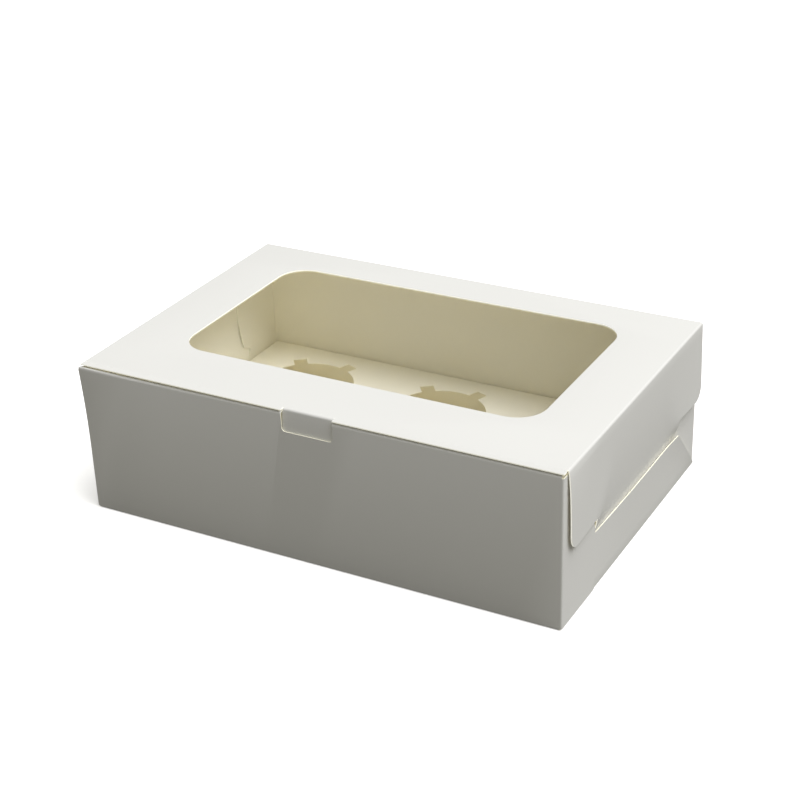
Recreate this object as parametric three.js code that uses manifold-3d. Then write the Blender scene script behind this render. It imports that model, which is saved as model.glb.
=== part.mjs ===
// Windowed cupcake box for six cupcakes, closed. Millimetres, +Z up. The origin is on the
// table under the middle of the box, the front is at -Y and the lid's fold at +Y.
//
// The carton is one cut and folded sheet of white card. It is made as two solids that
// part at the lid's fold: carton_base and carton_lid. A clear film is glued under the
// lid's window, and a folded card insert with six holes stands on the carton's floor.

import * as THREE from 'three';
import { mergeVertices } from 'three/addons/utils/BufferGeometryUtils.js';
import Module from 'manifold-3d';

// Driving dimensions of the carton
const baseWidth = 239; // outside, across the front corners
const depth = 160; // outside, front wall to back wall
const height = 75; // table to the lid's upper face
const board = 0.5; // thickness of the carton's card
const clearance = 0.3; // between layers that slide or swing past each other
const glueLap = 0.05; // how far two glued layers press into each other
const foldRadius = 0.6; // of the card's middle line, at a fold
const wallDrop = 0.9; // from the lid's underside down to the front wall's folded top

// Side walls
const wrapLength = 34.5; // of the front wall's flaps, round the front corners
const pocketHeight = 28.3; // of the low side panels that hold the lid's tongues
const pocketSetback = 1; // from the front wall to the hidden front end of a side panel
const cornerFlapDrop = 1.2; // from the back wall's top to its corner flaps' top

// Lid
const windowWidth = 181;
const windowDepth = 103.5;
const windowCorner = 14;
const windowBorder = 21.5; // card left between the window and the lid's fold
const flapLength = 39; // lid's upper face down to the side flaps' lower edge
const flapCorner = 7;
const flapSetback = 5; // side flaps' front edge behind the lid's front edge
const flapTaper = 1.2; // how much nearer the front that edge is at its top
const lidFoldRadius = 0.9; // of the card's middle line, at the lid's side folds
const tongueLength = 22; // below the side flap's lower edge
const tongueRear = 27.3; // from the back wall to the tongue's rear edge
const tongueCorner = 6;
const tongueFillet = 3;
const leanRise = 14; // over which the card above a tongue bends inwards
const leanRun = 16; // along which that bend fades towards the tongue's ends

// Front tab and its notch
const tabWidth = 25;
const tabLength = 18; // below the lid's upper face
const tabCorner = 3;
const notchDepth = 10.5; // below the lid's upper face
const notchCorner = 2;
const tabFoldRadius = 1;

// Window film
const filmThickness = 0.2;
const filmLap = 8; // glued onto the card round the window

// Insert
const insertBoard = 0.5;
const insertHeight = 20;
const insertSideGap = 0.75; // on each side, to the lid's tongues
const insertEndGap = 0.6; // at the front and the back, to the carton's walls
const insertFoldRadius = 0.8;
const holeDiameter = 48;
const holeColumnPitch = 75;
const holeRowPitch = 78;
const holeColumns = 3;
const holeRows = 2;
const notchCount = 6; // small slots round each hole
const slotWidth = 7;
const slotReach = 6; // beyond the hole's edge
const slotTurn = 8; // degrees, first slot from +X
const legGap = 1.5; // between neighbouring legs at the insert's corners

const foldSteps = 4; // straight pieces in a quarter turn of a fold

const front = -depth / 2;
const back = depth / 2;

// Layers of a side wall, from outside to inside. Each value is |x| at the card's middle.
const wrapLayer = baseWidth / 2 - board / 2;
const pocketLayer = wrapLayer - board + glueLap;
const cornerLayer = pocketLayer - board + glueLap;
const lidLayer = wrapLayer + board + clearance;
const tongueLayer = pocketLayer - board - clearance;

// The lid turns about the middle of the card in its fold
const hingeY = back - board / 2;
const hingeZ = height - board / 2;
const lidUnderside = height - board;
const flapLow = height - flapLength;
const tongueFrontY = front + wrapLength + clearance;
const tongueRearY = back - tongueRear;

// The tab leans inwards below the notch, so that it clears the lip as it swings out
const tabSwing = (tabLength ** 2 - notchDepth ** 2) / (2 * depth);
const tabY = front + board + clearance + board / 2;
const innerWallY = tabY + tabSwing + board + clearance;
const wallTop = lidUnderside - wallDrop;

// The insert fills the carton between its walls and tongues
const insertFront = innerWallY + board / 2 + insertEndGap;
const insertBack = back - board - insertEndGap;
const insertDepth = insertBack - insertFront;
const insertWidth = 2 * (tongueLayer - board / 2 - insertSideGap);

const wasm = await Module();
wasm.setup();

const cardMaterial = new THREE.MeshStandardMaterial({ color: 0xf2f2ee, roughness: 0.55, metalness: 0 });
const insertMaterial = new THREE.MeshStandardMaterial({ color: 0xe9e2cf, roughness: 0.75, metalness: 0 });
const filmMaterial = new THREE.MeshStandardMaterial({
  color: 0xf4f7f8,
  roughness: 0.08,
  metalness: 0,
  transparent: true,
  opacity: 0.2,
});

// A closed solid from a geometry
function solidOf(geometry) {
  const bare = geometry.clone();
  bare.deleteAttribute('normal');
  bare.deleteAttribute('uv');
  const merged = mergeVertices(bare, 1e-5);
  return new wasm.Manifold(new wasm.Mesh({
    numProp: 3,
    vertProperties: merged.getAttribute('position').array,
    triVerts: new Uint32Array(merged.getIndex().array),
  }));
}

// A named mesh from a solid
function meshOf(name, solid, material) {
  const { vertProperties, triVerts } = solid.getMesh();
  const geometry = new THREE.BufferGeometry();
  geometry.setAttribute('position', new THREE.BufferAttribute(vertProperties, 3));
  geometry.setIndex(new THREE.BufferAttribute(triVerts, 1));
  geometry.computeVertexNormals();
  const mesh = new THREE.Mesh(geometry, material);
  mesh.name = name;
  return mesh;
}

// A straight block of the given outline. The outline lies in (y, z) for a block along x,
// in (x, z) along y and in (x, y) along z.
function prism(shape, axis, from, to) {
  const geometry = new THREE.ExtrudeGeometry(shape, {
    depth: to - from,
    bevelEnabled: false,
    curveSegments: foldSteps,
  });
  const unitX = new THREE.Vector3(1, 0, 0);
  const unitY = new THREE.Vector3(0, 1, 0);
  const unitZ = new THREE.Vector3(0, 0, 1);
  const turn = new THREE.Matrix4();
  if (axis === 'x') turn.makeBasis(unitY, unitZ, unitX).setPosition(from, 0, 0);
  if (axis === 'y') turn.makeBasis(unitX, unitZ, unitY.clone().negate()).setPosition(0, to, 0);
  if (axis === 'z') turn.makeBasis(unitX, unitY, unitZ).setPosition(0, 0, from);
  return solidOf(geometry.applyMatrix4(turn));
}

function block(x0, x1, y0, y1, z0, z1) {
  const geometry = new THREE.BoxGeometry(x1 - x0, y1 - y0, z1 - z0);
  geometry.translate((x0 + x1) / 2, (y0 + y1) / 2, (z0 + z1) / 2);
  return solidOf(geometry);
}

// The middle line of a folded sheet: straight runs between the corners, with an arc of
// the corner's radius at each fold. A corner is [a, b, radius].
function foldedLine(corners) {
  const points = [];
  corners.forEach(([a, b, radius], index) => {
    const corner = new THREE.Vector2(a, b);
    if (!radius) {
      points.push(corner);
      return;
    }
    const before = new THREE.Vector2(...corners[index - 1].slice(0, 2)).sub(corner).normalize();
    const after = new THREE.Vector2(...corners[index + 1].slice(0, 2)).sub(corner).normalize();
    const halfAngle = before.angleTo(after) / 2;
    const reach = radius / Math.tan(halfAngle);
    const centre = corner.clone().addScaledVector(
      before.clone().add(after).normalize(),
      radius / Math.sin(halfAngle),
    );
    const start = corner.clone().addScaledVector(before, reach).sub(centre);
    const end = corner.clone().addScaledVector(after, reach).sub(centre);
    const sweep = Math.atan2(start.cross(end), start.dot(end));
    const steps = Math.max(1, Math.round((Math.abs(sweep) / (Math.PI / 2)) * foldSteps));
    for (let step = 0; step <= steps; step += 1) {
      const spoke = start.clone().rotateAround(new THREE.Vector2(), (sweep * step) / steps);
      points.push(spoke.add(centre));
    }
  });
  return points;
}

// The section of a folded sheet, as an outline of even thickness round its middle line
function foldedSection(corners, thickness) {
  const line = foldedLine(corners);
  const left = [];
  const right = [];
  line.forEach((point, index) => {
    const before = point.clone().sub(line[Math.max(index - 1, 0)]);
    const after = line[Math.min(index + 1, line.length - 1)].clone().sub(point);
    const first = before.lengthSq() > 0 ? before.normalize() : after.clone().normalize();
    const second = after.lengthSq() > 0 ? after.normalize() : first;
    const along = first.clone().add(second).normalize();
    const side = new THREE.Vector2(-along.y, along.x);
    const reach = thickness / 2 / along.dot(first);
    left.push(point.clone().addScaledVector(side, reach));
    right.unshift(point.clone().addScaledVector(side, -reach));
  });
  return new THREE.Shape([...left, ...right]);
}

// A closed outline through the given corners, each [a, b, radius], with rounded corners
function roundedOutline(corners) {
  const count = corners.length;
  const points = [];
  for (let index = 0; index < count; index += 1) {
    const trio = [corners[(index + count - 1) % count], corners[index], corners[(index + 1) % count]];
    points.push(...foldedLine([trio[0].slice(0, 2), trio[1], trio[2].slice(0, 2)]).slice(1, -1));
  }
  return new THREE.Shape(points);
}

function roundedRectangle(width, length, radius) {
  return roundedOutline([
    [-width / 2, -length / 2, radius],
    [width / 2, -length / 2, radius],
    [width / 2, length / 2, radius],
    [-width / 2, length / 2, radius],
  ]);
}

// The main strip of the carton: inner front wall, its folded top, outer front wall, floor
// and back wall, all one run of card
function mainStrip() {
  const topRadius = (innerWallY - front - board / 2) / 2;
  const section = foldedSection([
    [innerWallY, board + clearance],
    [innerWallY, wallTop - board / 2, topRadius],
    [front + board / 2, wallTop - board / 2, topRadius],
    [front + board / 2, board / 2, foldRadius],
    [back - board / 2, board / 2, foldRadius],
    [back - board / 2, lidUnderside - clearance],
  ], board);
  return prism(section, 'x', -pocketLayer, pocketLayer);
}

// The outer front wall's two flaps, wrapped round the front corners. Above the low side
// panels their rear edge follows the arc of the tongues, which swing past it.
function wrapFlaps() {
  const rear = front + wrapLength;
  const arcFoot = pocketHeight + 2.5 * board + 1.25;
  const arcRadius = Math.hypot(hingeY - rear, hingeZ - arcFoot);
  const section = foldedSection([
    [-wrapLayer, rear],
    [-wrapLayer, front + board / 2, foldRadius],
    [wrapLayer, front + board / 2, foldRadius],
    [wrapLayer, rear],
  ], board);
  const flaps = prism(section, 'z', board, wallTop - board);
  const arc = new THREE.Path();
  arc.absarc(
    hingeY,
    hingeZ,
    arcRadius,
    Math.PI + Math.asin((hingeZ - arcFoot) / arcRadius),
    Math.PI,
    true,
  );
  const arcPoints = arc.getPoints(3 * foldSteps);
  const cutAway = new THREE.Shape([
    new THREE.Vector2(back, arcFoot),
    ...arcPoints,
    new THREE.Vector2(back, hingeZ),
  ]);
  return flaps.subtract(prism(cutAway, 'x', -baseWidth, baseWidth));
}

// The low side panels, folded up from the floor. Their rear edge is cut at 45 degrees and
// their top edge is the mouth of the tongue's pocket.
function sidePanels() {
  const section = foldedSection([
    [-pocketLayer, pocketHeight],
    [-pocketLayer, board / 2, foldRadius],
    [pocketLayer, board / 2, foldRadius],
    [pocketLayer, pocketHeight],
  ], board);
  const panels = prism(section, 'y', front + pocketSetback, back - board / 2);
  const mitre = new THREE.Shape([
    new THREE.Vector2(back, 2 * board),
    new THREE.Vector2(back, pocketHeight + 2 * board),
    new THREE.Vector2(back - pocketHeight, pocketHeight + 2 * board),
  ]);
  return panels.subtract(prism(mitre, 'x', -baseWidth, baseWidth));
}

// The back wall's two corner flaps, glued inside the side panels
function cornerFlaps() {
  const section = foldedSection([
    [-cornerLayer, tongueRearY + clearance],
    [-cornerLayer, back - board / 2, foldRadius],
    [cornerLayer, back - board / 2, foldRadius],
    [cornerLayer, tongueRearY + clearance],
  ], board);
  return prism(section, 'z', board + clearance, lidUnderside - cornerFlapDrop);
}

// The notch in the outer front wall and its folded top, where the lid's tab goes in
function frontNotch() {
  const half = tabWidth / 2 + clearance;
  const lip = height - notchDepth;
  const opening = roundedOutline([
    [-half, lip, notchCorner],
    [half, lip, notchCorner],
    [half, height],
    [-half, height],
  ]);
  const outer = prism(opening, 'y', front - board, innerWallY - board / 2);
  const foldTop = wallTop - (innerWallY - front) / 2;
  return outer.add(block(-half, half, front - board, innerWallY + board, foldTop, height));
}

function cartonBase() {
  return mainStrip()
    .add(wrapFlaps())
    .add(sidePanels())
    .add(cornerFlaps())
    .subtract(frontNotch());
}

// Where a lid side flap lies, as |x| of its outer face. Its front and rear parts hang
// straight down outside the base. Over the tongue the card bends inwards, so that the
// tongue drops behind the side panel.
function flapRows(y) {
  const inside = Math.min(y - tongueFrontY, tongueRearY - y);
  const fade = THREE.MathUtils.clamp(inside / leanRun, 0, 1);
  const bendTop = flapLow + clearance + leanRise * fade;
  const straight = lidLayer + board / 2;
  const tucked = inside < 0 ? straight : tongueLayer + board / 2;
  return [
    [flapLow - tongueLength - board, tucked],
    [pocketHeight + board, tucked],
    [bendTop, straight],
    [hingeZ - lidFoldRadius, straight],
  ];
}

// A side flap's card before its outline is cut, as a bent slab of even thickness
function flapSlab() {
  const fades = [0, 0.25, 0.5, 0.75, 1].map((share) => share * leanRun);
  const stations = [
    front,
    tongueFrontY - clearance,
    ...fades.map((run) => tongueFrontY + run),
    ...fades.map((run) => tongueRearY - run).reverse(),
    tongueRearY + clearance,
    back,
  ];
  const positions = [];
  stations.forEach((y) => {
    flapRows(y).forEach(([z, x]) => {
      positions.push(x, y, z, x - board, y, z);
    });
  });
  const rows = 4;
  const outer = (station, row) => 2 * (station * rows + row);
  const inner = (station, row) => outer(station, row) + 1;
  const faces = [];
  const quad = (a, b, c, d) => faces.push(a, b, c, a, c, d);
  const lastStation = stations.length - 1;
  const lastRow = rows - 1;
  for (let s = 0; s < lastStation; s += 1) {
    for (let r = 0; r < lastRow; r += 1) {
      quad(outer(s, r), outer(s + 1, r), outer(s + 1, r + 1), outer(s, r + 1));
      quad(inner(s, r), inner(s, r + 1), inner(s + 1, r + 1), inner(s + 1, r));
    }
    quad(outer(s, 0), inner(s, 0), inner(s + 1, 0), outer(s + 1, 0));
    quad(outer(s, lastRow), outer(s + 1, lastRow), inner(s + 1, lastRow), inner(s, lastRow));
  }
  for (let r = 0; r < lastRow; r += 1) {
    quad(outer(0, r), outer(0, r + 1), inner(0, r + 1), inner(0, r));
    quad(outer(lastStation, r), inner(lastStation, r), inner(lastStation, r + 1), outer(lastStation, r + 1));
  }
  const geometry = new THREE.BufferGeometry();
  geometry.setAttribute('position', new THREE.Float32BufferAttribute(positions, 3));
  geometry.setIndex(faces);
  return solidOf(geometry);
}

// The outline that a side flap and its tongue are cut to, in (y, z)
function flapOutline() {
  const frontLow = front + flapSetback;
  const tongueLow = flapLow - tongueLength;
  const rearEdge = hingeY;
  return roundedOutline([
    [frontLow - flapTaper, height],
    [frontLow, flapLow, flapCorner],
    [tongueFrontY, flapLow],
    [tongueFrontY, tongueLow, tongueCorner],
    [tongueRearY, tongueLow, tongueCorner],
    [tongueRearY, flapLow, tongueFillet],
    [rearEdge, flapLow, flapCorner],
    [rearEdge, height],
  ]);
}

// One side flap on the right, from the lid's side fold down
function sideFlap() {
  const reach = lidLayer + board;
  return flapSlab().intersect(prism(flapOutline(), 'x', tongueLayer - board, reach));
}

// The lid's top panel with its two side folds and its window
function lidPanel() {
  const foldEnd = hingeZ - lidFoldRadius - board;
  const section = foldedSection([
    [-lidLayer, foldEnd],
    [-lidLayer, hingeZ, lidFoldRadius],
    [lidLayer, hingeZ, lidFoldRadius],
    [lidLayer, foldEnd],
  ], board);
  const flapFront = front + flapSetback - flapTaper;
  const cornerInner = lidLayer - lidFoldRadius;
  const corner = (side) => {
    const edges = [side * cornerInner, side * (lidLayer + board)].sort((a, b) => a - b);
    return block(edges[0], edges[1], front - board, flapFront, flapLow, height + board);
  };
  const tabHalf = tabWidth / 2 + clearance;
  const tabRoot = tabY + tabFoldRadius;
  const opening = prism(roundedRectangle(windowWidth, windowDepth, windowCorner), 'z', 0, height + board);
  return prism(section, 'y', front, hingeY)
    .subtract(corner(1))
    .subtract(corner(-1))
    .subtract(block(-tabHalf, tabHalf, front - board, tabRoot, flapLow, height + board))
    .subtract(opening.translate([0, windowY(), 0]));
}

// The middle of the window
function windowY() {
  return back - windowBorder - windowDepth / 2;
}

// The tab at the lid's front edge: folded down in front of the inner wall and tucked
// behind the lip of the notch
function frontTab() {
  const section = foldedSection([
    [tabY + 3 * tabFoldRadius, hingeZ],
    [tabY, hingeZ, tabFoldRadius],
    [tabY, height - notchDepth],
    [tabY + tabSwing, height - tabLength],
  ], board);
  const outline = roundedOutline([
    [-tabWidth / 2, height - tabLength - board, tabCorner],
    [tabWidth / 2, height - tabLength - board, tabCorner],
    [tabWidth / 2, height + board],
    [-tabWidth / 2, height + board],
  ]);
  const reach = tabY + 4 * tabFoldRadius;
  return prism(section, 'x', -tabWidth / 2, tabWidth / 2)
    .intersect(prism(outline, 'y', front - board, reach));
}

function cartonLid() {
  const flap = sideFlap();
  return lidPanel()
    .add(flap)
    .add(flap.mirror([1, 0, 0]))
    .add(frontTab());
}

// Clear film glued under the lid, all round the window
function windowFilm() {
  const outline = roundedRectangle(
    windowWidth + 2 * filmLap,
    windowDepth + 2 * filmLap,
    windowCorner,
  );
  return prism(outline, 'z', lidUnderside - filmThickness, lidUnderside)
    .translate([0, windowY(), 0]);
}

// One cupcake hole: a circle with small square slots round it
function holeOutline() {
  const radius = holeDiameter / 2;
  const outer = radius + slotReach;
  const halfSlot = slotWidth / 2;
  const halfAngle = Math.asin(halfSlot / radius);
  const outerAngle = Math.asin(halfSlot / outer);
  const pitch = (2 * Math.PI) / notchCount;
  const at = (distance, angle) => new THREE.Vector2(distance * Math.cos(angle), distance * Math.sin(angle));
  const points = [];
  for (let slot = 0; slot < notchCount; slot += 1) {
    const middle = THREE.MathUtils.degToRad(slotTurn) + slot * pitch;
    points.push(at(outer, middle - outerAngle), at(outer, middle + outerAngle));
    const arcStart = middle + halfAngle;
    const arcSweep = pitch - 2 * halfAngle;
    for (let step = 0; step <= foldSteps; step += 1) {
      points.push(at(radius, arcStart + (arcSweep * step) / foldSteps));
    }
  }
  return new THREE.Shape(points);
}

// The insert: a card table with four legs folded down, and rows of holes in its top
function cupcakeInsert() {
  const middleY = (insertFront + insertBack) / 2;
  const topZ = insertHeight - insertBoard / 2;
  const foot = board + clearance;
  const halfWidth = insertWidth / 2 - insertBoard / 2;
  const halfDepth = insertDepth / 2 - insertBoard / 2;
  const longSection = foldedSection([
    [-halfDepth, foot],
    [-halfDepth, topZ, insertFoldRadius],
    [halfDepth, topZ, insertFoldRadius],
    [halfDepth, foot],
  ], insertBoard);
  const shortSection = foldedSection([
    [-halfWidth, foot],
    [-halfWidth, topZ, insertFoldRadius],
    [halfWidth, topZ, insertFoldRadius],
    [halfWidth, foot],
  ], insertBoard);
  const longLegReach = insertWidth / 2 - insertFoldRadius - insertBoard;
  const shortLegReach = insertDepth / 2 - insertFoldRadius - insertBoard - legGap;
  let insert = prism(longSection, 'x', -longLegReach, longLegReach)
    .add(prism(shortSection, 'y', -shortLegReach, shortLegReach));
  const hole = prism(holeOutline(), 'z', insertHeight / 2, insertHeight + insertBoard);
  for (let column = 0; column < holeColumns; column += 1) {
    for (let row = 0; row < holeRows; row += 1) {
      const x = (column - (holeColumns - 1) / 2) * holeColumnPitch;
      const y = (row - (holeRows - 1) / 2) * holeRowPitch;
      insert = insert.subtract(hole.translate([x, y, 0]));
    }
  }
  return insert.translate([0, middleY, 0]);
}

const cupcakeBox = new THREE.Group();
cupcakeBox.add(
  meshOf('carton_base', cartonBase(), cardMaterial),
  meshOf('carton_lid', cartonLid(), cardMaterial),
  meshOf('window_film', windowFilm(), filmMaterial),
  meshOf('cupcake_insert', cupcakeInsert(), insertMaterial),
);

export default cupcakeBox;
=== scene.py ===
import math

import bmesh
import bpy
from mathutils import Matrix, Vector


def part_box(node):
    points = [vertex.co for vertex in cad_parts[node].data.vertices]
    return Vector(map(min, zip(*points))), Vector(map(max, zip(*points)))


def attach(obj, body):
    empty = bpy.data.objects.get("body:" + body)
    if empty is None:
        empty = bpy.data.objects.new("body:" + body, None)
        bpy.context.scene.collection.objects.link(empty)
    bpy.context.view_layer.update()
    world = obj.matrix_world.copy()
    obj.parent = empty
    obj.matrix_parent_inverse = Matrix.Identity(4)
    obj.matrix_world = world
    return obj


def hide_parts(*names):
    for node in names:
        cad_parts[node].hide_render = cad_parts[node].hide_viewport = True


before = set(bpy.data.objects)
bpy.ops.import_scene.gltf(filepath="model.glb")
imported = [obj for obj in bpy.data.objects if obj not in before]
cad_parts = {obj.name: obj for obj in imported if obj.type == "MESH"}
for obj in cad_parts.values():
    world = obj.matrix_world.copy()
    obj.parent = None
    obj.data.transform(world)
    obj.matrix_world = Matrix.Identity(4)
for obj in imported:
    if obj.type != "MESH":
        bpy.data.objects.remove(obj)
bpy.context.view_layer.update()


# The carton
# One cut and creased sheet of card, white coated outside and bare cream inside. The floor,
# the double front wall, the back wall and the low side panels are one run; flaps wrapped
# round the front corners and glued over the side panels hold it in shape.

mm = 0.001
card = 0.5 * mm
crease = 0.6 * mm
slip = 0.3 * mm
slack = 0.01 * mm
quarter = math.pi / 2
fold_steps = 5

base_low, base_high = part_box("carton_base")
lid_low, lid_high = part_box("carton_lid")
front_y = base_low[1] + card / 2
back_y = base_high[1] - card / 2
floor_z = base_low[2] + card / 2
wrap_x = base_high[0] - card / 2
panel_x = wrap_x - card - slack
corner_x = panel_x - card - slack
hinge_y = lid_high[1]
hinge_z = lid_high[2] - card / 2

inner_wall_y = front_y + 2.27 * mm
roll = (inner_wall_y - front_y) / 2
wall_top = 73.6 * mm
wall_rise = 0.4 * mm
corner_poke = 2.0 * mm
poke_reach = 2.2 * mm
wall_lean = 0.7 * mm
wall_lean_from = 20 * mm
squareness = 0.8
square_from = 95 * mm
square_run = 20 * mm
outer_roll_y = front_y + 0.95 * roll
past_wraps_y = -40 * mm
wall_lines = [place * mm for place in (-110, -95, -75, -50, -25, 0, 25, 50, 75, 100)]
wrap_lines = [height * mm for height in (30.8, 38, 46, 54, 62, 68)]
panel_top = 28.3 * mm
panel_bulge = 0.9 * mm
bulge_wave = 0.8 * math.pi
panel_rear_lift = 0.9 * mm
lift_reach = 14 * mm
lift_fade = 0.25
panel_rear = 52.7 * mm
wrap_rear = -45.5 * mm
wrap_arc_foot = 30.8 * mm
corner_front = 53.0 * mm
corner_root = 56.0 * mm
corner_reach = 6 * mm
corner_in = 1.05 * mm
corner_out = 1.25 * mm
corner_bend = 20.5 * mm
corner_foot = 26 * mm
corner_step = 29.2 * mm
corner_top = 44 * mm
notch_half = 12.8 * mm
notch_low = 64.5 * mm
notch_round = 2 * mm
cutter_reach = 3 * mm
cutter_top = wall_top + 9 * mm
gap_drop = 1.2 * mm
gap_depth = 2 * mm
gap_round = 0.3 * mm


def new_panel(name, low, high, height):
    """Adds a flat panel of card between two corners and opens it for folding."""
    bpy.ops.object.select_all(action="DESELECT")
    middle = ((low[0] + high[0]) / 2, (low[1] + high[1]) / 2, height)
    bpy.ops.mesh.primitive_plane_add(size=1, location=middle)
    panel = bpy.context.object
    panel.name = name
    panel.scale = (high[0] - low[0], high[1] - low[1], 1)
    bpy.ops.object.transform_apply(location=True, rotation=True, scale=True)
    bpy.ops.object.mode_set(mode="EDIT")
    return panel


def pick(sheet, where, kind="edges"):
    """Selects the edges, faces or points that lie wholly where the test says."""
    bpy.ops.mesh.select_mode(type={"edges": "EDGE", "faces": "FACE", "verts": "VERT"}[kind])
    bpy.ops.mesh.select_all(action="DESELECT")
    shape = bmesh.from_edit_mesh(sheet.data)
    for part in getattr(shape, kind):
        points = [part.co] if kind == "verts" else [vert.co for vert in part.verts]
        if all(where(point) for point in points):
            part.select_set(True)
    shape.select_flush_mode()
    bmesh.update_edit_mesh(sheet.data)


def fold(centre, axis, angle, steps=fold_steps):
    """Carries the picked edge round a rounded crease. With no window, spin turns backwards."""
    bpy.ops.mesh.spin(steps=steps, angle=-angle, center=centre, axis=axis)


def draw_out(x=0.0, y=0.0, z=0.0):
    """Carries the picked edge on as a flat panel."""
    bpy.ops.mesh.extrude_region_move(TRANSFORM_OT_translate={"value": (x, y, z)})


def shift(sheet, where, move):
    """Moves the points that lie where the test says, each by its own amount."""
    shape = bmesh.from_edit_mesh(sheet.data)
    for vert in shape.verts:
        if where(vert.co):
            vert.co += Vector(move(vert.co))
    bmesh.update_edit_mesh(sheet.data)


def add_lines(sheet, where, axis, places):
    """Adds lines across part of the card, so that it can bend there."""
    normal = [1.0 if index == axis else 0.0 for index in range(3)]
    for place in places:
        pick(sheet, where, "faces")
        point = [place if index == axis else 0.0 for index in range(3)]
        bpy.ops.mesh.bisect(plane_co=point, plane_no=normal, threshold=slack / 10)


def round_corner(sheet, corner, radius):
    """Rounds one corner of the flat card, given as its place across and up."""
    place = Vector(corner)
    pick(sheet, lambda p: (p - place).length < 20 * slack, "verts")
    bpy.ops.mesh.bevel(offset=radius, segments=7, affect="VERTICES")


def thicken(sheet, thickness, finishes):
    """Gives the sheet its thickness, with a finish for each side and one for its cut edges."""
    bpy.ops.object.mode_set(mode="OBJECT")
    for finish in finishes:
        sheet.data.materials.append(finish)
    wall = sheet.modifiers.new("thickness", "SOLIDIFY")
    wall.thickness = thickness
    wall.offset = 0
    wall.use_even_offset = True
    wall.material_offset = 1
    wall.material_offset_rim = 2
    bpy.context.view_layer.objects.active = sheet
    bpy.ops.object.modifier_apply(modifier=wall.name)


def carry_on(sheet, where):
    """Gives the outer finish to the rim where the real sheet runs on past a fold."""
    points = sheet.data.vertices
    for face in sheet.data.polygons:
        if all(where(points[index].co) for index in face.vertices):
            face.material_index = 0


def rounded_block(name, low, high, radius, axis):
    """A block with its four edges along one axis rounded, to cut card with."""
    bpy.ops.object.select_all(action="DESELECT")
    middle = [(a + b) / 2 for a, b in zip(low, high)]
    bpy.ops.mesh.primitive_cube_add(size=1, location=middle)
    block = bpy.context.object
    block.name = name
    block.scale = [b - a for a, b in zip(low, high)]
    bpy.ops.object.transform_apply(location=True, rotation=True, scale=True)
    bpy.ops.object.mode_set(mode="EDIT")
    bpy.ops.mesh.select_mode(type="EDGE")
    bpy.ops.mesh.select_all(action="DESELECT")
    shape = bmesh.from_edit_mesh(block.data)
    for edge in shape.edges:
        run = edge.verts[0].co - edge.verts[1].co
        if abs(run[axis]) > slack:
            edge.select_set(True)
    bmesh.update_edit_mesh(block.data)
    bpy.ops.mesh.bevel(offset=radius, segments=12, affect="EDGES")
    bpy.ops.object.mode_set(mode="OBJECT")
    return block


def cut_out(sheet, cutter, edge_finish):
    """Cuts a shape out of the card and leaves bare cut edges."""
    cutter.data.materials.clear()
    cutter.data.materials.append(edge_finish)
    knife = sheet.modifiers.new("cut", "BOOLEAN")
    knife.operation = "DIFFERENCE"
    knife.object = cutter
    knife.solver = "EXACT"
    knife.use_self = True
    knife.material_mode = "TRANSFER"
    bpy.context.view_layer.objects.active = sheet
    bpy.ops.object.modifier_apply(modifier=knife.name)
    bpy.data.objects.remove(cutter)


def finish_sheet(sheet, body, node):
    """Shades the creases as round, leaves cut edges sharp, and hands the sheet to its body."""
    bpy.ops.object.select_all(action="DESELECT")
    sheet.select_set(True)
    bpy.context.view_layer.objects.active = sheet
    bpy.ops.object.shade_smooth_by_angle(angle=math.radians(35))
    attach(sheet, body)
    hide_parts(node)


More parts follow.
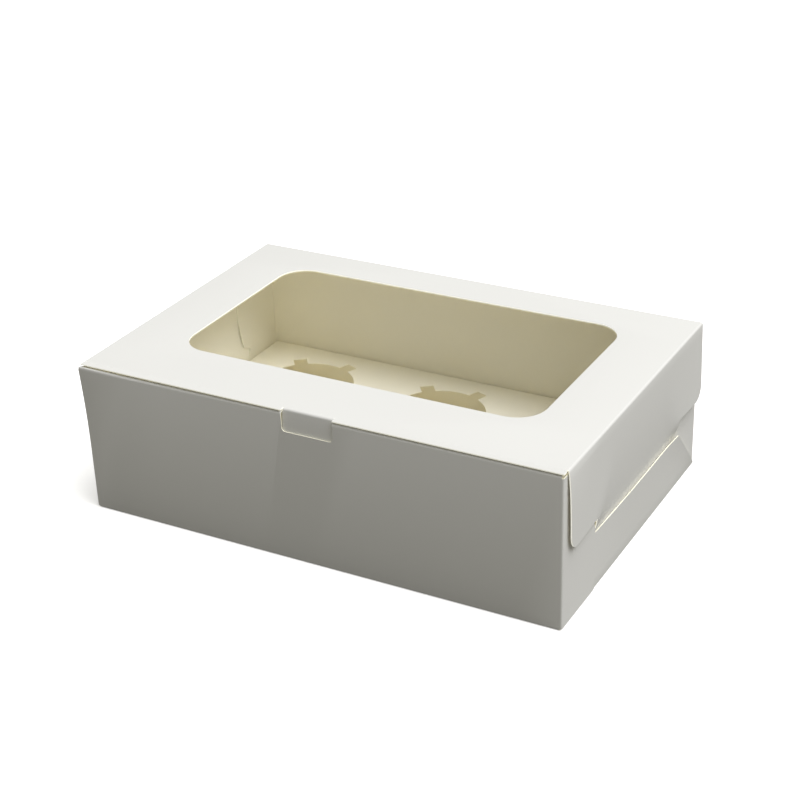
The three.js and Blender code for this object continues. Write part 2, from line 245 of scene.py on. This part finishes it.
def card_finish(name, colour, roughness, fibre, grain, painted_glow=0.0):
    """A card surface: faint clouds in its colour, fine fibres and a slightly uneven gloss. A cut edge
    can also get a painted glow: an even emission in its own colour, the same in light and shade, that
    stands in for light soaking into the card from its faces."""
    finish = bpy.data.materials.new(name)
    finish.use_nodes = True
    nodes = finish.node_tree.nodes
    links = finish.node_tree.links
    shader = nodes["Principled BSDF"]
    # Painted light: this emission makes the surface glow in its own colour wherever it is, lit or in
    # shade.
    shader.inputs["Emission Color"].default_value = (*colour, 1)
    shader.inputs["Emission Strength"].default_value = painted_glow
    place = nodes.new("ShaderNodeTexCoord")
    stretch = nodes.new("ShaderNodeMapping")
    stretch.inputs["Scale"].default_value = (1.0, grain, 1.0)
    links.new(place.outputs["Object"], stretch.inputs["Vector"])
    clouds = nodes.new("ShaderNodeTexNoise")
    clouds.inputs["Scale"].default_value = 18
    clouds.inputs["Detail"].default_value = 3
    links.new(place.outputs["Object"], clouds.inputs["Vector"])
    fibres = nodes.new("ShaderNodeTexNoise")
    fibres.inputs["Scale"].default_value = 1400
    fibres.inputs["Detail"].default_value = 4
    fibres.inputs["Roughness"].default_value = 0.65
    links.new(stretch.outputs["Vector"], fibres.inputs["Vector"])
    half_fibres = nodes.new("ShaderNodeMath")
    half_fibres.operation = "MULTIPLY"
    half_fibres.inputs[1].default_value = 0.5
    links.new(fibres.outputs["Fac"], half_fibres.inputs[0])
    mottle = nodes.new("ShaderNodeMath")
    mottle.operation = "MULTIPLY_ADD"
    mottle.inputs[1].default_value = 0.5
    links.new(clouds.outputs["Fac"], mottle.inputs[0])
    links.new(half_fibres.outputs[0], mottle.inputs[2])
    tone = nodes.new("ShaderNodeMix")
    tone.data_type = "RGBA"
    tone.inputs["A"].default_value = (*[part * (1 - fibre) for part in colour], 1)
    tone.inputs["B"].default_value = (*[min(part * (1 + fibre), 1) for part in colour], 1)
    links.new(mottle.outputs[0], tone.inputs["Factor"])
    links.new(tone.outputs["Result"], shader.inputs["Base Color"])
    gloss = nodes.new("ShaderNodeMapRange")
    gloss.inputs["To Min"].default_value = roughness - 0.06
    gloss.inputs["To Max"].default_value = roughness + 0.06
    links.new(fibres.outputs["Fac"], gloss.inputs["Value"])
    links.new(gloss.outputs["Result"], shader.inputs["Roughness"])
    relief = nodes.new("ShaderNodeBump")
    relief.inputs["Strength"].default_value = 0.25
    relief.inputs["Distance"].default_value = 0.02 * mm
    links.new(fibres.outputs["Fac"], relief.inputs["Height"])
    links.new(relief.outputs["Normal"], shader.inputs["Normal"])
    return finish


coated_card = card_finish("coated_card", (0.80, 0.80, 0.785), 0.6, 0.015, 1.0)
bare_card = card_finish("bare_card", (0.93, 0.903, 0.79), 0.85, 0.02, 3.0)
# The carton's cut edges carry a weak painted glow, an even emission that stands in for light soaking
# in from the card's faces.
cut_edge = card_finish("cut_edge", (0.93, 0.91, 0.76), 0.9, 0.03, 3.0, 0.1)

half_floor = panel_x - crease
carton = new_panel("carton", (-half_floor, front_y + crease), (half_floor, back_y - crease), floor_z)
bpy.ops.mesh.select_all(action="SELECT")
bpy.ops.mesh.flip_normals()

# The front wall goes up, over its rolled top and down again inside.
roll_z = wall_top - card / 2 - roll
wall_foot = floor_z + crease
pick(carton, lambda p: p.y < front_y + crease + slack)
fold((0, front_y + crease, wall_foot), (1, 0, 0), -quarter)
draw_out(z=roll_z - wall_foot)
fold((0, front_y + roll, roll_z), (1, 0, 0), -2 * quarter, steps=2 * fold_steps)
draw_out(z=floor_z + card / 2 + slip - roll_z)

# The back wall
pick(carton, lambda p: p.y > back_y - crease - slack)
fold((0, back_y - crease, wall_foot), (1, 0, 0), quarter)
draw_out(z=base_high[2] - wall_foot)

for side in (1, -1):
    # The low side panel, cut at 45 degrees at its rear
    pick(carton, lambda p: side * p.x > half_floor - slack and p.z < floor_z + slack)
    fold((side * half_floor, 0, wall_foot), (0, 1, 0), -side * quarter)
    draw_out(z=panel_top - wall_foot)
    shift(
        carton,
        lambda p: side * p.x > panel_x - slack and p.z > panel_top - slack and p.y > 0,
        lambda p: (0, panel_rear - p.y, 0),
    )

    # The flap that wraps round the front corner
    shift(
        carton,
        lambda p: side * p.x > half_floor - slack
        and p.z > wall_foot - slack
        and (p.y < front_y + slack or p.z > roll_z - slack and p.y < front_y + roll),
        lambda p: (side * (wrap_x - panel_x), 0, 0),
    )
    pick(
        carton,
        lambda p: side * p.x > wrap_x - crease - slack and p.y < front_y + slack,
    )
    fold((side * (wrap_x - crease), front_y + crease, 0), (0, 0, 1), side * quarter)
    draw_out(y=wrap_rear - front_y - crease)

    # The back wall's corner flap, glued inside the side panel
    shift(
        carton,
        lambda p: side * p.x > half_floor - slack and p.y > back_y - slack,
        lambda p: (side * (corner_x - panel_x), 0, 0),
    )
    pick(carton, lambda p: side * p.x > corner_x - crease - slack and p.y > back_y - slack)
    fold((side * (corner_x - crease), back_y - crease, 0), (0, 0, 1), -side * quarter)
    draw_out(y=corner_front - back_y + crease)

# The wrapped flaps' rear edge is an arc about the lid's fold, so that the tongues swing past
arc = math.hypot(hinge_y - wrap_rear, hinge_z - wrap_arc_foot)
add_lines(
    carton,
    lambda p: abs(p.x) > wrap_x - slack and p.y < wrap_rear + slack,
    2,
    wrap_lines,
)
shift(
    carton,
    lambda p: abs(p.x) > wrap_x - slack and p.y > wrap_rear - slack and p.z > wrap_arc_foot - slack,
    lambda p: (0, hinge_y - math.sqrt(arc ** 2 - (hinge_z - p.z) ** 2) - p.y, 0),
)

# The side panels lean out a little, most of all along the middle of their mouth
def on_side_panel(p):
    return half_floor - slack < abs(p.x) < panel_x + slack and p.z < panel_top + slack


panel_lines = [place * mm for place in (-45.5, -37, -28, -15, 0, 15, 30, 42, 52.7, 60, 68, 74)]
add_lines(carton, on_side_panel, 1, panel_lines)
add_lines(carton, on_side_panel, 2, [height * mm for height in (6, 12, 18, 23)])


def panel_stand_off(p):
    """How far a side panel leans out: most at its mouth, and more beside its slanted cut."""
    along = min(max((p.y - wrap_rear) / (panel_rear - wrap_rear), 0), 1)
    up = min(max((p.z - wall_foot) / (panel_top - wall_foot), 0), 1)
    out = panel_bulge * up * math.sin(bulge_wave * along)
    from_cut = (panel_rear - p.y + panel_top - p.z) / math.sqrt(2)
    lift = panel_rear_lift * max(1 - from_cut / lift_reach, 0) ** 2 * min(up / lift_fade, 1)
    return out + lift


shift(
    carton,
    on_side_panel,
    lambda p: (panel_stand_off(p) if p.x > 0 else -panel_stand_off(p), 0, 0),
)

# Above the side panels, the corner flaps reach further forward, past the tongues' rear edges
def on_corner_flap(p):
    return abs(abs(p.x) - corner_x) < slack and p.y > corner_front - slack and p.z > wall_foot - slack


corner_lines = [height * mm for height in (20.5, 26, 29.2, 32.5, 36, 40, 44)]
add_lines(carton, on_corner_flap, 2, corner_lines)
add_lines(carton, lambda p: on_corner_flap(p) and p.z > corner_bend - slack, 1, [corner_root])


def corner_flap_shift(p):
    """A corner flap's free strip: forward, and in past the tongue or out to the lid's flap."""
    free = min(max((corner_root - p.y) / (corner_root - corner_front), 0), 1)
    down = min((p.z - corner_bend) / (corner_foot - corner_bend), 1)
    up = min(max((p.z - corner_step) / (corner_top - corner_step), 0), 1)
    out = corner_out * up - corner_in * down * (1 - up)
    forward = corner_reach * min(max((p.z - corner_foot) / (corner_step - corner_foot), 0), 1)
    return (math.copysign(1, p.x) * out * free, -forward * free, 0)


shift(carton, lambda p: on_corner_flap(p) and p.z > corner_bend - slack, corner_flap_shift)

# The front wall's rolled top stands square at its left corner, which pokes out
add_lines(
    carton,
    lambda p: p.y < inner_wall_y + slack and abs(p.x) < panel_x,
    0,
    wall_lines,
)


def wall_shift(p):
    """How far the front wall's top rises, from nothing at its left end."""
    along = min(max((p.x + half_floor) / (1.2 * half_floor), 0), 1)
    ease = along * along * (3 - 2 * along)
    return (0, 0, wall_rise * ease)


def corner_shift(p):
    """How far the wall's left corner leans out."""
    up = max(p.z - wrap_arc_foot, 0) / (wall_top - wrap_arc_foot)
    near = max(1 - (p.y - front_y) / poke_reach, 0)
    return (-corner_poke * up * up * near, 0, 0)


def square_shift(p):
    """How the outer half of the rolled top is squared towards the left corner."""
    square = squareness * min(max((-p.x - square_from) / square_run, 0), 1)
    return (0, square * (front_y - p.y), square * (wall_top - card / 2 - p.z))


def lean_shift(p):
    """How the wall leans out at its top, more and more towards the left corner."""
    left = min(max((-p.x - wall_lean_from) / (half_floor - wall_lean_from), 0), 1)
    near = max(1 - (p.y - front_y) / poke_reach, 0)
    return (0, -wall_lean * left * left * near * p.z / wall_top, 0)


add_lines(carton, lambda p: p.x < -wrap_x + slack, 1, [front_y + poke_reach])
add_lines(
    carton,
    lambda p: p.x < wall_lines[0] + slack
    and p.y < front_y + poke_reach + slack
    and wall_foot - slack < p.z < roll_z + slack,
    2,
    wrap_lines,
)
shift(carton, lambda p: p.z > roll_z + slack and p.y < outer_roll_y, square_shift)
shift(carton, lambda p: p.z > roll_z - slack and p.y < past_wraps_y, wall_shift)
shift(carton, lambda p: p.x < -half_floor + slack and p.y < front_y + poke_reach, corner_shift)
shift(carton, lambda p: p.z > wall_foot - slack and p.y < front_y + poke_reach, lean_shift)

# The card gets its thickness, then its cuts: the notch for the tab, and the gap in the roll behind it
thicken(carton, card, (coated_card, bare_card, cut_edge))
carry_on(carton, lambda p: p.y > back_y - card and p.z > base_high[2] - slack)
notch = rounded_block(
    "notch",
    (-notch_half, front_y - cutter_reach, notch_low),
    (notch_half, front_y + roll, cutter_top),
    notch_round,
    1,
)
cut_out(carton, notch, cut_edge)
roll_gap = rounded_block(
    "roll_gap",
    (-notch_half, front_y - cutter_reach, roll_z - gap_drop),
    (notch_half, inner_wall_y + gap_depth, cutter_top),
    gap_round,
    1,
)
cut_out(carton, roll_gap, cut_edge)
finish_sheet(carton, "base", "carton_base")


# The insert
# A second sheet of uncoated board, folded down on four sides into legs, that stands on the
# floor and holds six cupcakes. Each hole was punched with six small slots round it, which
# let the board give as a cake is pushed in.

insert_low, insert_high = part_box("cupcake_insert")
insert_board = 0.5 * mm
insert_crease = 0.8 * mm
insert_x = insert_high[0] - insert_board / 2
insert_front = insert_low[1] + insert_board / 2
insert_back = insert_high[1] - insert_board / 2
insert_z = insert_high[2] - insert_board / 2
insert_middle = (insert_front + insert_back) / 2
leg_drop = insert_low[2] - insert_z + insert_crease
hole_radius = 24 * mm
hole_pitch = (75 * mm, 78 * mm)
slot_width = 7 * mm
slot_reach = 29.8 * mm
slot_turn = math.radians(8)
hole_sides = 96
punch_depth = 6 * mm
slot_depth = 5 * mm
slot_step = 0.4 * mm

insert = new_panel(
    "insert",
    (-insert_x + insert_crease, insert_front + insert_crease),
    (insert_x - insert_crease, insert_back - insert_crease),
    insert_z,
)
fold_z = insert_z - insert_crease
pick(insert, lambda p: p.y < insert_front + insert_crease + slack)
fold((0, insert_front + insert_crease, fold_z), (1, 0, 0), quarter)
draw_out(z=leg_drop)
pick(insert, lambda p: p.y > insert_back - insert_crease - slack)
fold((0, insert_back - insert_crease, fold_z), (1, 0, 0), -quarter)
draw_out(z=leg_drop)
for side in (1, -1):
    edge_x = insert_x - insert_crease
    pick(insert, lambda p: side * p.x > edge_x - slack and p.z > insert_z - slack)
    fold((side * edge_x, 0, fold_z), (0, 1, 0), side * quarter)
    draw_out(z=leg_drop)

insert_face = card_finish("insert_board", (0.93, 0.903, 0.79), 0.8, 0.02, 3.0)
insert_back_face = card_finish("insert_underside", (0.935, 0.905, 0.79), 0.85, 0.02, 3.0)
insert_edge = card_finish("insert_edge", (0.93, 0.89, 0.74), 0.9, 0.05, 3.0)
thicken(insert, insert_board, (insert_face, insert_back_face, insert_edge))

for column in (-1, 0, 1):
    for row in (-0.5, 0.5):
        centre = (column * hole_pitch[0], insert_middle + row * hole_pitch[1], insert_z)
        bpy.ops.object.select_all(action="DESELECT")
        bpy.ops.mesh.primitive_cylinder_add(
            vertices=hole_sides,
            radius=hole_radius,
            depth=punch_depth,
            location=centre,
        )
        punch = bpy.context.object
        bpy.ops.object.mode_set(mode="EDIT")
        for slot in range(3):
            bpy.ops.mesh.primitive_cube_add(
                size=1,
                location=centre,
                rotation=(0, 0, slot_turn + slot * math.pi / 3),
                scale=(2 * slot_reach, slot_width, slot_depth - slot * slot_step),
            )
        bpy.ops.object.mode_set(mode="OBJECT")
        cut_out(insert, punch, insert_edge)
finish_sheet(insert, "base", "cupcake_insert")


# The lid
# The same sheet carries on over the back wall as the lid. Its side flaps end in tongues
# that are bent inwards and pushed down behind the low side panels, and its front tab is
# tucked into the notch in the front wall.

lid_crease = 0.9 * mm
lid_x = lid_high[0] - card / 2
lid_z = lid_high[2] - card / 2
plate_half = lid_x - lid_crease
flap_front = -76.2 * mm
flap_taper = 1.2 * mm
flap_low = 36 * mm
flap_round = 7 * mm
tongue_front = -45.2 * mm
tongue_rear = 52.7 * mm
tongue_low = lid_low[2]
tongue_round = 6 * mm
tongue_fillet = 1.5 * mm
tuck_depth = 2.05 * mm
tuck_foot = 28.8 * mm
lean_rise = 34 * mm
lean_run = 20 * mm
flap_flare = 1.1 * mm
rear_flare = 0.9 * mm
plate_ear = 0.6 * mm
tab_half = 12.75 * mm
tab_y = front_y + 1.5 * mm
tab_crease = 0.9 * mm
tab_lean = 0.9 * mm
tab_length = 18 * mm
tab_round = 3 * mm
tab_swing = 0.25 * mm
window_half = 90.5 * mm
window_front = -45 * mm
window_back = 58.5 * mm
window_round = 14 * mm

lid = new_panel("lid", (-plate_half, lid_low[1]), (plate_half, hinge_y), lid_z)
tab_root = tab_y + tab_crease
add_lines(lid, lambda p: True, 1, [flap_front, tab_root])
add_lines(lid, lambda p: True, 0, [-notch_half, -tab_half, tab_half, notch_half])
pick(lid, lambda p: abs(p.x) < notch_half + slack and p.y < tab_root + slack, "faces")
bpy.ops.mesh.delete(type="FACE")

# The front tab leans out to the notch's lip, and hangs down behind it
tab_foot = lid_high[2] - tab_length
pick(lid, lambda p: abs(p.x) < tab_half + slack and abs(p.y - tab_root) < slack)
fold((0, tab_root, lid_z - tab_crease), (1, 0, 0), quarter)
draw_out(y=-tab_lean, z=notch_low - lid_z + tab_crease)
draw_out(y=tab_swing, z=tab_foot - notch_low)
for side in (1, -1):
    round_corner(lid, (side * tab_half, tab_y - tab_lean + tab_swing, tab_foot), tab_round)

for side in (1, -1):
    # The side flap and its tongue, cut to their outline while the card is still flat
    pick(lid, lambda p: side * p.x > plate_half - slack and p.y > flap_front - slack)
    fold((side * plate_half, 0, lid_z - lid_crease), (0, 1, 0), side * quarter)
    draw_out(z=flap_low - lid_z + lid_crease)
    shift(
        lid,
        lambda p: side * p.x > lid_x - slack and p.z < flap_low + slack and p.y < 0,
        lambda p: (0, flap_taper, 0),
    )
    add_lines(lid, lambda p: side * p.x > plate_half - slack, 1, [tongue_front, tongue_rear])
    pick(
        lid,
        lambda p: side * p.x > lid_x - slack
        and p.z < flap_low + slack
        and tongue_front - slack < p.y < tongue_rear + slack,
    )
    draw_out(z=tongue_low - flap_low)
    flap_top = lid_z - lid_crease
    pick(lid, lambda p: side * p.x > lid_x - slack and p.z < flap_top + slack, "faces")
    bpy.ops.mesh.dissolve_faces()
    x = side * lid_x
    round_corner(lid, (x, flap_front + flap_taper, flap_low), flap_round)
    round_corner(lid, (x, hinge_y, flap_low), flap_round)
    round_corner(lid, (x, tongue_front, tongue_low), tongue_round)
    round_corner(lid, (x, tongue_rear, tongue_low), tongue_round)
    round_corner(lid, (x, tongue_rear, flap_low), tongue_fillet)

fades = [lean_run * share for share in (0, 0.25, 0.5, 0.75, 1)]
bend_places = [tongue_front + run for run in fades] + [tongue_rear - run for run in fades]
edge_places = [place * mm for place in (-70, -64, -58, -52, 0, 60, 68)]
add_lines(lid, lambda p: abs(p.x) > lid_x - slack, 1, bend_places + edge_places)
low_heights = (20, 28.8, 30.5, 32.5, 34.5, 36.4, 38.5, 41, 44, 47, 50.3)
high_heights = (54, 58, 62, 66, 70)
bend_heights = [height * mm for height in low_heights + high_heights]
add_lines(lid, lambda p: abs(p.x) > lid_x - slack, 2, bend_heights)


def flap_bend(p):
    """How far the card of a side flap leaves its straight plane: in above the tongue, and
    a little out at its free front corner."""
    inside = min(p.y - tongue_front, tongue_rear - p.y)
    fade = min(max(inside / lean_run, 0), 1)
    fade = fade * fade * (3 - 2 * fade)
    top = flap_low + slip + lean_rise * fade
    down = min(max((top - p.z) / (top - tuck_foot), 0), 1)
    tuck = tuck_depth * down * down
    free = min(max((tongue_front - p.y) / (tongue_front - flap_front), 0), 1)
    hang = min(max((lid_z - p.z) / (lid_z - flap_low), 0), 1)
    rear_free = min(max((p.y - tongue_rear) / (hinge_y - tongue_rear), 0), 1)
    outward = flap_flare * free * (1 - (1 - hang) ** 4) + rear_flare * rear_free * hang - tuck
    return (outward if p.x > 0 else -outward, 0, 0)


shift(lid, lambda p: abs(p.x) > lid_x - slack, flap_bend)

# The plate's front corners, past the flaps, reach out over the carton's wrapped corners
shift(
    lid,
    lambda p: abs(p.x) > plate_half - slack and p.y < flap_front - slack,
    lambda p: (math.copysign(plate_ear, p.x), 0, 0),
)

# The lid's cut edges carry a strong painted glow, an even emission that makes the front edge in shade
# read pale, as if lit by light soaking in from the top.
lid_edge = card_finish("lid_cut_edge", (0.95, 0.94, 0.85), 0.9, 0.03, 3.0, 0.45)
thicken(lid, card, (coated_card, bare_card, lid_edge))
carry_on(lid, lambda p: p.y > hinge_y - slack and p.z > lid_z - card and abs(p.x) < plate_half + slack)
window = rounded_block(
    "window",
    (-window_half, window_front, lid_z - cutter_reach),
    (window_half, window_back, lid_z + cutter_reach),
    window_round,
    2,
)
cut_out(lid, window, lid_edge)
finish_sheet(lid, "lid", "carton_lid")


# The window film
# A thin sheet of clear plastic, glued to the lid's underside all round the window. It is
# nearly invisible but for a faint gloss.

film_low, film_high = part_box("window_film")
film_thickness = 0.15 * mm
film_glue = 0.02 * mm


def film_finish():
    """Clear plastic that mirrors a little more the flatter it is looked along."""
    finish = bpy.data.materials.new("clear_film")
    finish.use_nodes = True
    nodes = finish.node_tree.nodes
    links = finish.node_tree.links
    nodes.remove(nodes["Principled BSDF"])
    clear = nodes.new("ShaderNodeBsdfTransparent")
    mirror = nodes.new("ShaderNodeBsdfGlossy")
    mirror.inputs["Roughness"].default_value = 0.08
    slope = nodes.new("ShaderNodeLayerWeight")
    slope.inputs["Blend"].default_value = 0.5
    steep = nodes.new("ShaderNodeMath")
    steep.operation = "POWER"
    steep.inputs[1].default_value = 5
    links.new(slope.outputs["Facing"], steep.inputs[0])
    share = nodes.new("ShaderNodeMath")
    share.operation = "MULTIPLY_ADD"
    share.inputs[1].default_value = 0.9
    share.inputs[2].default_value = 0.02
    links.new(steep.outputs[0], share.inputs[0])
    place = nodes.new("ShaderNodeTexCoord")
    ripple = nodes.new("ShaderNodeTexNoise")
    ripple.inputs["Scale"].default_value = 22
    links.new(place.outputs["Object"], ripple.inputs["Vector"])
    relief = nodes.new("ShaderNodeBump")
    relief.inputs["Strength"].default_value = 0.15
    relief.inputs["Distance"].default_value = 0.5 * mm
    links.new(ripple.outputs["Fac"], relief.inputs["Height"])
    links.new(relief.outputs["Normal"], mirror.inputs["Normal"])
    both = nodes.new("ShaderNodeMixShader")
    links.new(share.outputs[0], both.inputs["Fac"])
    links.new(clear.outputs["BSDF"], both.inputs[1])
    links.new(mirror.outputs["BSDF"], both.inputs[2])
    links.new(both.outputs["Shader"], nodes["Material Output"].inputs["Surface"])
    return finish


film = new_panel(
    "film",
    film_low[:2],
    film_high[:2],
    film_high[2] - film_glue - film_thickness / 2,
)
pick(film, lambda p: True, "verts")
bpy.ops.mesh.bevel(offset=window_round, segments=7, affect="VERTICES")
clear_film = film_finish()
thicken(film, film_thickness, (clear_film, clear_film, clear_film))
finish_sheet(film, "lid", "window_film")


# The table, the light and the camera
# A plain pale floor under one large soft lamp high over the right, with the camera where
# the photograph was taken from.

floor_size = 9
bpy.ops.object.select_all(action="DESELECT")
bpy.ops.mesh.primitive_plane_add(size=floor_size, location=(0, 0, -0.1 * mm))
floor = bpy.context.object
floor.name = "floor"
pale = bpy.data.materials.new("pale_floor")
pale.use_nodes = True
pale_nodes = pale.node_tree.nodes
pale_links = pale.node_tree.links
pale_nodes["Principled BSDF"].inputs["Roughness"].default_value = 0.9
pale_nodes["Principled BSDF"].inputs["Specular IOR Level"].default_value = 0.1
path = pale_nodes.new("ShaderNodeLightPath")
paleness = pale_nodes.new("ShaderNodeMix")
paleness.data_type = "RGBA"
paleness.inputs["A"].default_value = (0.19, 0.185, 0.165, 1)
paleness.inputs["B"].default_value = (0.97, 0.97, 0.97, 1)
pale_links.new(path.outputs["Is Camera Ray"], paleness.inputs["Factor"])
pale_links.new(paleness.outputs["Result"], pale_nodes["Principled BSDF"].inputs["Base Color"])
paper_white = pale_nodes.new("ShaderNodeMath")
paper_white.operation = "MULTIPLY"
paper_white.inputs[1].default_value = 0.45
pale_links.new(path.outputs["Is Camera Ray"], paper_white.inputs[0])
pale_links.new(paper_white.outputs[0], pale_nodes["Principled BSDF"].inputs["Emission Strength"])
pale_nodes["Principled BSDF"].inputs["Emission Color"].default_value = (1, 1, 1, 1)
floor.data.materials.append(pale)

world = bpy.data.worlds.new("studio")
world.use_nodes = True
world.node_tree.nodes["Background"].inputs["Color"].default_value = (1, 0.975, 0.88, 1)
world.node_tree.nodes["Background"].inputs["Strength"].default_value = 0.28
bpy.context.scene.world = world

lamp_place = Vector((0.95, 0.1, 1.9))
bpy.ops.object.light_add(type="SUN", location=lamp_place)
lamp = bpy.context.object
lamp.name = "soft_lamp"
lamp.data.angle = math.radians(50)
lamp.data.energy = 3.0
lamp.rotation_euler = (-lamp_place).to_track_quat("-Z", "Y").to_euler()

camera_place = Vector((360.85, -643.57, 420.63)) * mm
camera_azimuth = math.radians(29.172)
camera_elevation = math.radians(26.962)
camera_roll = math.radians(-1.892)
camera_lens = 79.49
bpy.ops.object.camera_add()
camera = bpy.context.object
camera.data.sensor_width = 36
camera.data.lens = camera_lens
camera.matrix_world = (
    Matrix.Translation(camera_place)
    @ Matrix.Rotation(camera_azimuth, 4, "Z")
    @ Matrix.Rotation(quarter - camera_elevation, 4, "X")
    @ Matrix.Rotation(camera_roll, 4, "Z")
)
bpy.context.scene.camera = camera
bpy.context.scene.view_settings.view_transform = "Standard"
bpy.context.scene.cycles.diffuse_bounces = 12
